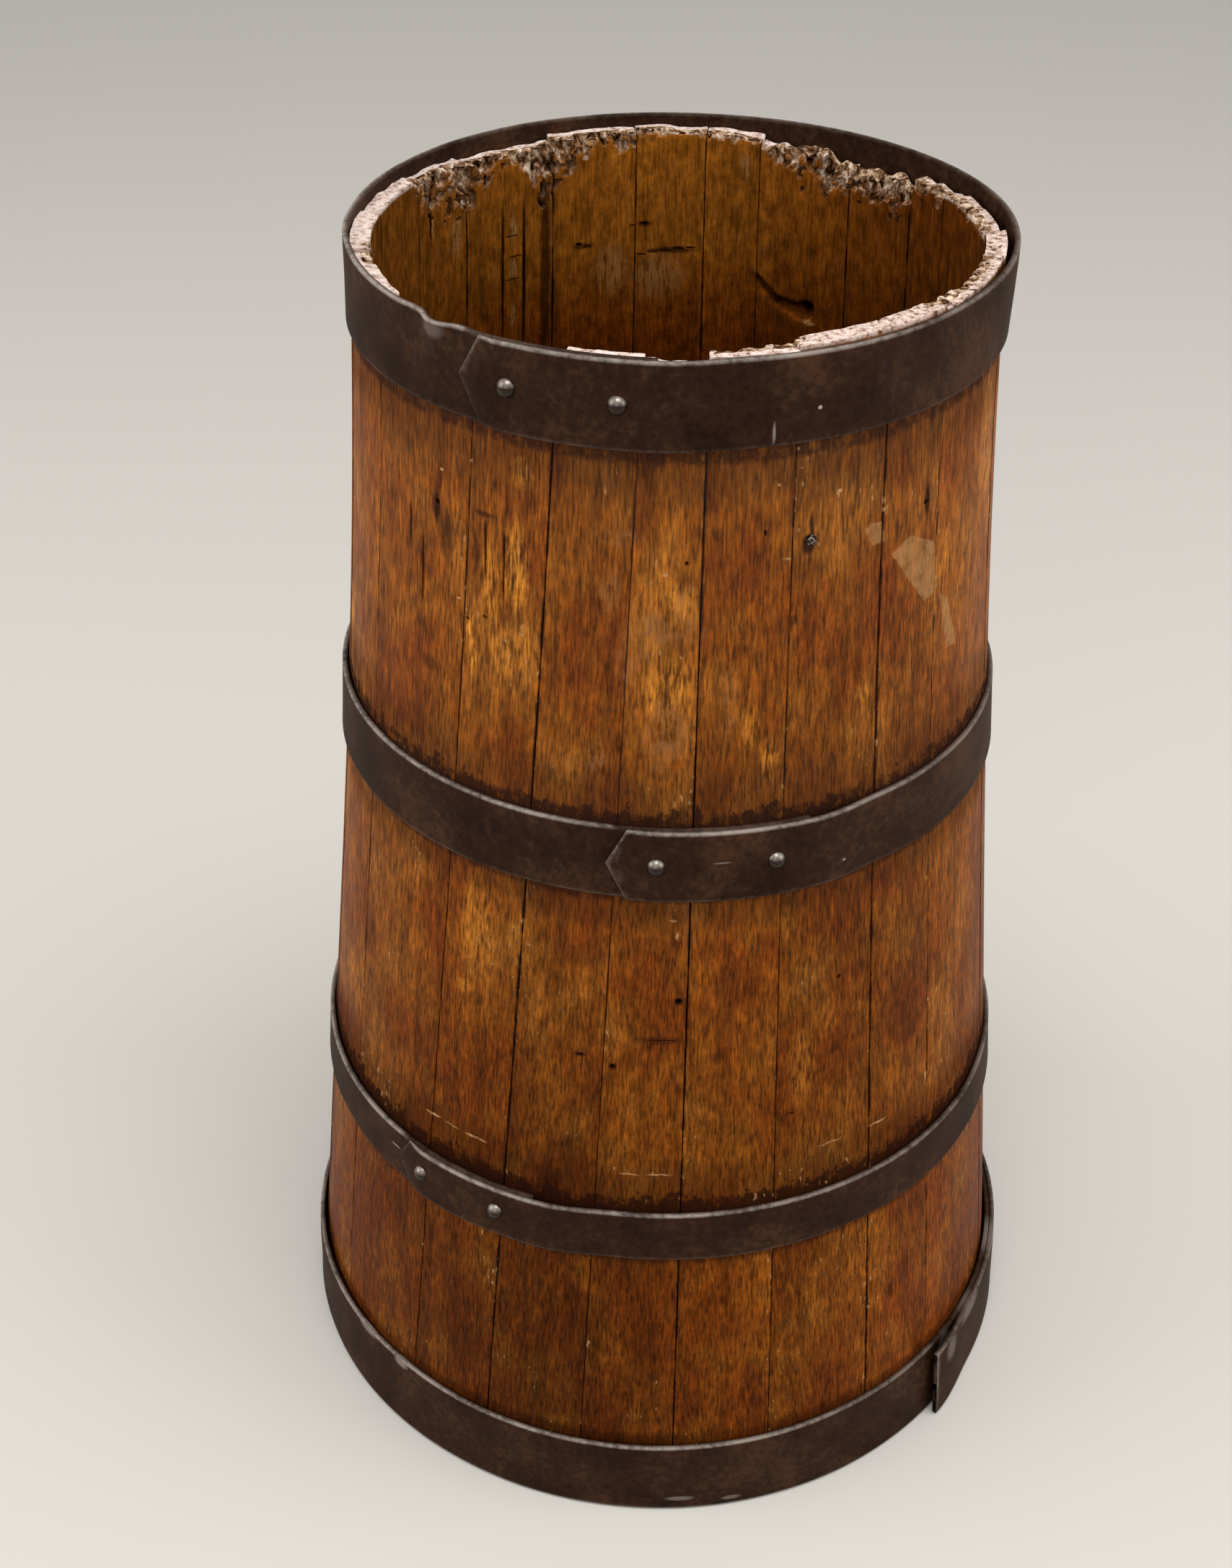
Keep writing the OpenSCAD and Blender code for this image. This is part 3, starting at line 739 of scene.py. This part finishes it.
# Varnish is smooth; bare wood, dirt and the painted shade bands are dull
dull = greatest(oak, [bare, inside, dirt_and_shade])
rough = add(oak, "ShaderNodeMapRange", {"Value": dull, "To Min": 0.36, "To Max": 0.85}).outputs[0]
rough = add(oak, "ShaderNodeMath", {0: mottle, 1: 0.16, 2: rough}, operation="MULTIPLY_ADD").outputs[0]
relief = add(oak, "ShaderNodeMath", {0: crack, 1: bare}, operation="MULTIPLY").outputs[0]
relief = add(oak, "ShaderNodeMath", {0: relief, 1: 2.5, 2: streaks}, operation="MULTIPLY_ADD").outputs[0]
relief = add(oak, "ShaderNodeMath", {0: chipped, 1: -0.5, 2: relief}, operation="MULTIPLY_ADD").outputs[0]
bump = add(oak, "ShaderNodeBump", {"Height": relief, "Strength": 0.5, "Distance": 0.0006}).outputs[0]
fill(oak, oak_shader, {"Base Color": wood, "Roughness": rough, "Normal": bump, "IOR": 1.5,
                       "Specular IOR Level": 0.03})

for k in range(len(STAVE_SHARES)):
    stave = make_stave(k)
    stave.data.materials.append(oak)
    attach(stave, "root")
    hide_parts("stave_%02d" % (k + 1))


# Nail: one bright steel nail left in the front of the barrel, driven into its hole.
# Drawn wire with a flat round head, dulled in places and polished by handling in others.
nail_steel, nail_shader = new_material("bright_steel")
place = add(nail_steel, "ShaderNodeTexCoord").outputs["Object"]
# Tarnish in specks about 1 mm across
tarnish = add(nail_steel, "ShaderNodeTexNoise",
              {"Vector": place, "Scale": 900.0, "Detail": 2.0}).outputs["Fac"]
nail_ramp = add(nail_steel, "ShaderNodeValToRGB", {0: tarnish})
set_ramp(nail_ramp, [(0.50, "#1a120d"), (0.64, "#99908a")])
fill(nail_steel, nail_shader, {"Base Color": nail_ramp.outputs[0], "Metallic": 0.7, "Roughness": 0.28})


def dress(node, material):
    """Gives its finish to a solid that is carried over as it is."""
    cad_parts[node].data.materials.clear()
    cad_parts[node].data.materials.append(material)


dress("stave_nail", nail_steel)


# Hoops: four straps of wrought iron strip, each bent into a ring on the slope of the staves,
# lapped over its own end and riveted, then driven down tight. Handling has worn the edges.
STRAP_THICK = 0.0028
LAP_GAP = 0.0002
# Past the lap, the strap steps down to the staves from this angle on and over this angle
STEP_START = 1.5
STEP_ANGLE = 12.0
STRIP_ROUND = 0.0006
# How uneven the strips are, and how far and over what angle the end of the base strap has sprung off
STRIP_WAVE = 0.0003
SPRUNG_OUT = 0.0042
SPRUNG_ANGLE = 13
# The drawn end gets back its full thickness over this length
DRAWN_LENGTH = 0.012
# Bottom edge, width, angle of the outer end, angle where the lap ends, length of the point, and
# the share of the thickness left where the end was drawn out thin
HOOPS = {
    "hoop_base": (0.0015, 0.048, -39.0, 31.0, 0.002, 1.0),
    "hoop_lower": (0.187, 0.030, -136.0, -109.5, 0.009, 0.12),
    "hoop_upper": (0.415, 0.039, -99.0, -66.0, 0.010, 0.60),
    "hoop_top": (0.649, 0.042, -126.0, -92.5, 0.012, 0.30),
}
# Knocks in the top edge: angle, half width, how far down from the edge they reach, and how far out
KNOCKS = {
    "hoop_base": [(20, 60, 1.2, 0.0030), (-165, 45, 1.0, 0.0022), (-95, 40, 0.8, 0.0010)],
    "hoop_lower": [(-150, 60, 0.9, 0.0010), (-40, 30, 0.8, 0.0007), (100, 50, 0.9, 0.0010)],
    "hoop_upper": [(-170, 50, 0.9, 0.0008), (-60, 40, 0.8, 0.0007), (80, 60, 0.9, 0.0008)],
    "hoop_top": [
        (12, 55, 1.3, 0.0045),
        (-131, 5, 0.50, 0.0040),
        (-137, 5, 0.45, -0.0012),
        (-121, 7, 0.5, 0.0010),
        (184, 12, 0.55, 0.0008),
        (60, 30, 0.7, 0.0012),
        (120, 35, 0.7, 0.0010),
    ],
}


def strap_bulge(name, angle, along, up):
    """How far a strap stands off its true ring, from knocks and from springing loose."""
    wave = STRIP_WAVE * noise.noise(Vector((angle * 0.06, up * 2, len(name) * 3.7)))
    for middle, half, reach, out in KNOCKS[name]:
        away = abs((angle - middle + 180) % 360 - 180)
        wave += out * smooth(1 - away / half) * smooth((up - 1 + reach) / reach)
    if name == "hoop_base":
        wave += SPRUNG_OUT * smooth(1 - along / SPRUNG_ANGLE)
    return wave


def make_strap(name):
    """One hoop: a strip cut to a point, with its edges broken, then bent round and lapped."""
    low, width, tip, lap_end, point, drawn = HOOPS[name]
    mean = side(low + width / 2) + STRAP_THICK / 2
    turn = 360 + lap_end - tip
    length = math.radians(turn) * mean
    bpy.ops.object.select_all(action="DESELECT")
    bpy.ops.mesh.primitive_cube_add(size=1)
    strap = bpy.context.object
    strap.name = "iron_" + name
    bpy.ops.object.mode_set(mode="EDIT")
    bpy.ops.mesh.select_all(action="SELECT")
    bpy.ops.transform.resize(value=(length, STRAP_THICK, width))
    bpy.ops.transform.translate(value=(length / 2, 0, width / 2))
    # Cut the outer end to a point, then break all sharp edges of the strip
    for slope in (-1, 1):
        bpy.ops.mesh.select_all(action="SELECT")
        bpy.ops.mesh.bisect(plane_co=(0, 0, width / 2), plane_no=(-width / 2, 0, slope * point),
                            use_fill=True, clear_outer=True)
    bpy.ops.mesh.select_all(action="SELECT")
    bpy.ops.mesh.bevel(offset=STRIP_ROUND, segments=2, affect="EDGES")
    # Rows of points along the strip, closest near its edges
    for level in (0.0018, 0.005, 0.25 * width, 0.5 * width, 0.75 * width, width - 0.005, width - 0.0018):
        bpy.ops.mesh.select_all(action="SELECT")
        bpy.ops.mesh.bisect(plane_co=(0, 0, level), plane_no=(0, 0, 1))
    # One cut to each degree of the bend
    for i in range(1, round(turn)):
        bpy.ops.mesh.select_all(action="SELECT")
        bpy.ops.mesh.bisect(plane_co=(length * i / round(turn), 0, 0), plane_no=(1, 0, 0))
    bpy.ops.object.mode_set(mode="OBJECT")
    # Bend the strip round the staves, over its own end, and keep where it is rubbed bright and painted with
    # a highlight
    worn_and_highlit = []
    for vertex in strap.data.vertices:
        along, out, up = vertex.co.x / length * turn, vertex.co.y + STRAP_THICK / 2, vertex.co.z
        angle = tip + along
        from_point = along / turn * length - point * abs(up - width / 2) / (width / 2)
        outer = smooth((out / STRAP_THICK - 0.45) / 0.4)
        out *= drawn + (1 - drawn) * smooth(from_point / DRAWN_LENGTH)
        rise = smooth(1 - (angle - lap_end - STEP_START) / STEP_ANGLE) * (STRAP_THICK + LAP_GAP)
        z = low + up
        r = side(low) + (side(low + width) - side(low)) * up / width
        r += out + rise + strap_bulge(name, angle, along, up / width)
        # Rubbed bright with a painted highlight within about a millimetre of the edges, mostly the top edge
        # and the upper half of the point, and least where the lap covers the strip, which is painted shadow
        # Painted shadow keeps the edge dark where the lap covers the strip
        lap_shadow = smooth((angle - tip - 360) / 2)
        top = (0.15 + 0.85 * outer) * smooth(1.3 - (width - up) / 0.0014) * (1 - 0.9 * lap_shadow)
        bottom = 0.15 * smooth(1.2 - up / 0.0012) * outer
        end = (1 if up > width / 2 else 0.4) * drawn * smooth(1.3 - from_point / 0.0012) * outer
        worn_and_highlit.append(max(top, bottom, end))
        angle = math.radians(angle)
        vertex.co = (r * math.cos(angle), r * math.sin(angle), z)
    put_attribute(strap, "worn_and_highlit", worn_and_highlit)
    bpy.ops.object.mode_set(mode="EDIT")
    bpy.ops.mesh.select_all(action="SELECT")
    bpy.ops.mesh.normals_make_consistent(inside=False)
    bpy.ops.object.mode_set(mode="OBJECT")
    bpy.ops.object.shade_smooth_by_angle(angle=math.radians(40))
    return strap


# Black hoop iron: dark brown scale from the forge, satin from handling, with thin rust
# showing as slow brown clouds, and bare bright metal with a painted highlight only along the knocked edges.
# Scratches and rubbed spots, and one painted highlight on a knock, written as the marks on the staves are
IRON_MARKS_AND_HIGHLIGHT = [
    (-74.2, 655.5, 0.7, 4.5, 0.45),
    (-66.7, 664.8, 0.9, 0.9, 0.95),
    (-80.7, 437, 4.0, 0.5, 0.30),
    # Painted highlight on the knocked bump of the top hoop
    (-131.0, 687, 5.5, 4.0, 0.20),
    (-137.0, 205, 3.5, 0.6, 0.55),
    (-85.0, 9, 7.0, 1.6, 0.35),
    (-77.0, 6, 5.0, 1.4, 0.30),
    (-143.0, 48, 8.0, 2.5, 0.45),
    (-134.0, 47, 5.0, 3.0, 0.50),
    (-26.0, 45, 12.0, 5.0, 0.30),
    (-34.0, 40, 6.0, 8.0, 0.25),
    (-10.0, 48, 14.0, 3.0, 0.34),
    (-60.0, 425, 0.8, 0.7, 0.70),
]
hoop_iron, iron_shader = new_material("black_hoop_iron")
place = add(hoop_iron, "ShaderNodeTexCoord").outputs["Object"]
worn_and_highlit = add(hoop_iron, "ShaderNodeAttribute", attribute_name="worn_and_highlit").outputs["Fac"]
# Clouds of rust about 35 mm across, hammer scale about 4 mm across, grit under 1 mm
clouds = add(hoop_iron, "ShaderNodeTexNoise",
             {"Vector": place, "Scale": 28.0, "Detail": 6.0, "Roughness": 0.6}).outputs["Fac"]
scale = add(hoop_iron, "ShaderNodeTexNoise",
            {"Vector": place, "Scale": 260.0, "Detail": 5.0, "Roughness": 0.65}).outputs["Fac"]
grit = add(hoop_iron, "ShaderNodeTexNoise",
           {"Vector": place, "Scale": 1300.0, "Detail": 2.0}).outputs["Fac"]
tint = add(hoop_iron, "ShaderNodeMath", {0: clouds, 1: 0.55}, operation="MULTIPLY").outputs[0]
tint = add(hoop_iron, "ShaderNodeMath", {0: scale, 1: 0.45, 2: tint}, operation="MULTIPLY_ADD").outputs[0]
iron_ramp = add(hoop_iron, "ShaderNodeValToRGB", {0: tint})
set_ramp(iron_ramp, [(0.38, "#22130b"), (0.50, "#301d12"), (0.62, "#452d1d")])
# The edges are bright in patches, rubbed metal with a painted highlight that fades towards the right
sideways = add(hoop_iron, "ShaderNodeSeparateXYZ", {0: place}).outputs["X"]
bright = scaled(hoop_iron, worn_and_highlit, [(tint, 0.40, 0.56, 0.20, 0.85), (sideways, 0.04, 0.14, 0.95, 0.45)])
marks = spots(hoop_iron, unroll(hoop_iron, place, 0.8), IRON_MARKS_AND_HIGHLIGHT)
bright = greatest(hoop_iron, [bright, marks])
iron_colour = covered(hoop_iron, iron_ramp.outputs[0], [(bright, colour("#a99d93"))])
iron_rough = add(hoop_iron, "ShaderNodeMapRange",
                 {"Value": scale, "From Min": 0.3, "From Max": 0.7, "To Min": 0.48,
                  "To Max": 0.68}).outputs[0]
relief = add(hoop_iron, "ShaderNodeMath", {0: grit, 1: 0.35, 2: scale}, operation="MULTIPLY_ADD").outputs[0]
iron_bump = add(hoop_iron, "ShaderNodeBump",
                {"Height": relief, "Strength": 0.30, "Distance": 0.0004}).outputs[0]
fill(hoop_iron, iron_shader, {"Base Color": iron_colour, "Roughness": iron_rough, "Normal": iron_bump,
                              "Specular IOR Level": 0.05})

for name in HOOPS:
    strap = make_strap(name)
    strap.data.materials.append(hoop_iron)
    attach(strap, "root")
    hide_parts(name)


# Rivets: two iron rivets through the lap of each hoop, set hot with domed heads outside.
# The upper half of each dome has a painted highlight, and the lower half keeps its dark scale.
# Heights of the middles of the heads, and how far above them the painted highlight begins, is full and ends
RIVET_HEIGHTS = [0.0260, 0.2025, 0.4350, 0.6702]
HIGHLIGHT_START = 0.0009
HIGHLIGHT_FULL = 0.0036
HIGHLIGHT_END = 0.006
rivet_iron, rivet_shader = new_material("rivet_iron_painted_highlight")
place = add(rivet_iron, "ShaderNodeTexCoord").outputs["Object"]
# Hammer marks about 3 mm across
hammered = add(rivet_iron, "ShaderNodeTexNoise",
               {"Vector": place, "Scale": 330.0, "Detail": 4.0}).outputs["Fac"]
level = add(rivet_iron, "ShaderNodeSeparateXYZ", {0: place}).outputs["Z"]
rubbed_and_highlit = add(rivet_iron, "ShaderNodeMapRange",
             {"Value": hammered, "From Min": 0.65, "From Max": 0.85, "To Max": 0.3}).outputs[0]
# Painted highlight over the upper half of each dome; the hammer marks give a few rubbed spots
for middle in RIVET_HEIGHTS:
    upper = add(rivet_iron, "ShaderNodeMath", {0: level, 1: middle + HIGHLIGHT_END},
                operation="LESS_THAN").outputs[0]
    upper = scaled(rivet_iron, upper, [(level, middle + HIGHLIGHT_START, middle + HIGHLIGHT_FULL, 0, 1)])
    rubbed_and_highlit = greatest(rivet_iron, [rubbed_and_highlit, upper])
rivet_colour = covered(rivet_iron, colour("#2b1e17"), [(rubbed_and_highlit, colour("#958a80"))])
rivet_bump = add(rivet_iron, "ShaderNodeBump",
                 {"Height": hammered, "Strength": 0.15, "Distance": 0.0004}).outputs[0]
fill(rivet_iron, rivet_shader, {"Base Color": rivet_colour, "Normal": rivet_bump, "Metallic": 0.6,
                                "Roughness": 0.32})
for name in ("rivets_base", "rivets_lower", "rivets_upper", "rivets_top"):
    dress(name, rivet_iron)


# Bottom head: five oak boards dowelled edge to edge, turned to a disc and bevelled to a tongue
# that the staves' groove grips. Only its upper face is seen, far down in the dark inside.
head_oak, head_shader = new_material("stained_head_oak")
place = add(head_oak, "ShaderNodeTexCoord").outputs["Object"]
# Streaks 3 mm wide and 120 mm long, along the boards
head_place = add(head_oak, "ShaderNodeMapping", {0: place, "Scale": (320, 8, 320)}).outputs[0]
head_grain = add(head_oak, "ShaderNodeTexNoise",
                 {"Vector": head_place, "Scale": 1.0, "Detail": 5.0, "Roughness": 0.6}).outputs["Fac"]
head_ramp = add(head_oak, "ShaderNodeValToRGB", {0: head_grain})
set_ramp(head_ramp, [(0.3, "#2f1808"), (0.5, "#4a2c12"), (0.7, "#6a4522")])
head_bump = add(head_oak, "ShaderNodeBump",
                {"Height": head_grain, "Strength": 0.4, "Distance": 0.0006}).outputs[0]
fill(head_oak, head_shader, {"Base Color": head_ramp.outputs[0], "Normal": head_bump, "Roughness": 0.8})
for name in ("head_board_1", "head_board_2", "head_board_3", "head_board_4", "head_board_5", "head_dowels"):
    dress(name, head_oak)


# Stage: a plain pale floor, large soft lamps and the camera at the photograph's angle.
bpy.ops.object.select_all(action="DESELECT")
bpy.ops.mesh.primitive_plane_add(size=14)
floor = bpy.context.object
floor.name = "floor"
pale_floor, floor_shader = new_material("pale_floor")
fill(pale_floor, floor_shader, {"Base Color": colour("#d6d1ca"), "Roughness": 0.9})
floor.data.materials.append(pale_floor)

scene = bpy.context.scene
scene.view_settings.view_transform = "Standard"
world = bpy.data.worlds.new("soft_sky")
world.use_nodes = True
fill(world, world.node_tree.nodes["Background"], {"Color": colour("#f2f2f0"), "Strength": 0.55})
scene.world = world
# Each lamp's name, place, width and power. All point at the middle of the barrel.
LAMPS = [
    ("lamp_left", (-2.3, -0.5, 1.5), 1.8, 26),
    ("lamp_right", (2.3, -0.5, 1.4), 1.8, 28),
    ("lamp_top", (0.2, -0.7, 3.2), 1.6, 42),
    ("lamp_front", (-0.5, -2.6, 1.7), 1.4, 9),
]
LIT_POINT = Vector((0, 0, 0.4))
for name, where, width, power in LAMPS:
    lamp = bpy.data.lights.new(name, "AREA")
    lamp.size = width
    lamp.energy = power
    holder = bpy.data.objects.new(name, lamp)
    holder.location = where
    holder.rotation_euler = (LIT_POINT - Vector(where)).to_track_quat("-Z", "Y").to_euler()
    scene.collection.objects.link(holder)

PICTURE_WIDTH = 1708
FOCAL_PIXELS = 3200
SENSOR_WIDTH = 36.0
CAMERA_PLACE = Vector((0, -1.0724, 1.1014))
pitch, yaw, roll = math.radians(34.66), math.radians(-1.46), math.radians(0.55)
ahead = Vector((math.sin(yaw) * math.cos(pitch), math.cos(yaw) * math.cos(pitch), -math.sin(pitch)))
right = Vector((math.cos(yaw), -math.sin(yaw), 0))
up = right.cross(ahead)
across = math.cos(roll) * right + math.sin(roll) * up
upward = -math.sin(roll) * right + math.cos(roll) * up
lens = bpy.data.cameras.new("camera")
lens.sensor_fit = "HORIZONTAL"
lens.sensor_width = SENSOR_WIDTH
lens.lens = FOCAL_PIXELS / PICTURE_WIDTH * SENSOR_WIDTH
camera = bpy.data.objects.new("camera", lens)
camera.matrix_world = Matrix((
    (across.x, upward.x, -ahead.x, CAMERA_PLACE.x),
    (across.y, upward.y, -ahead.y, CAMERA_PLACE.y),
    (across.z, upward.z, -ahead.z, CAMERA_PLACE.z),
    (0, 0, 0, 1),
))
scene.collection.objects.link(camera)
scene.camera = camera
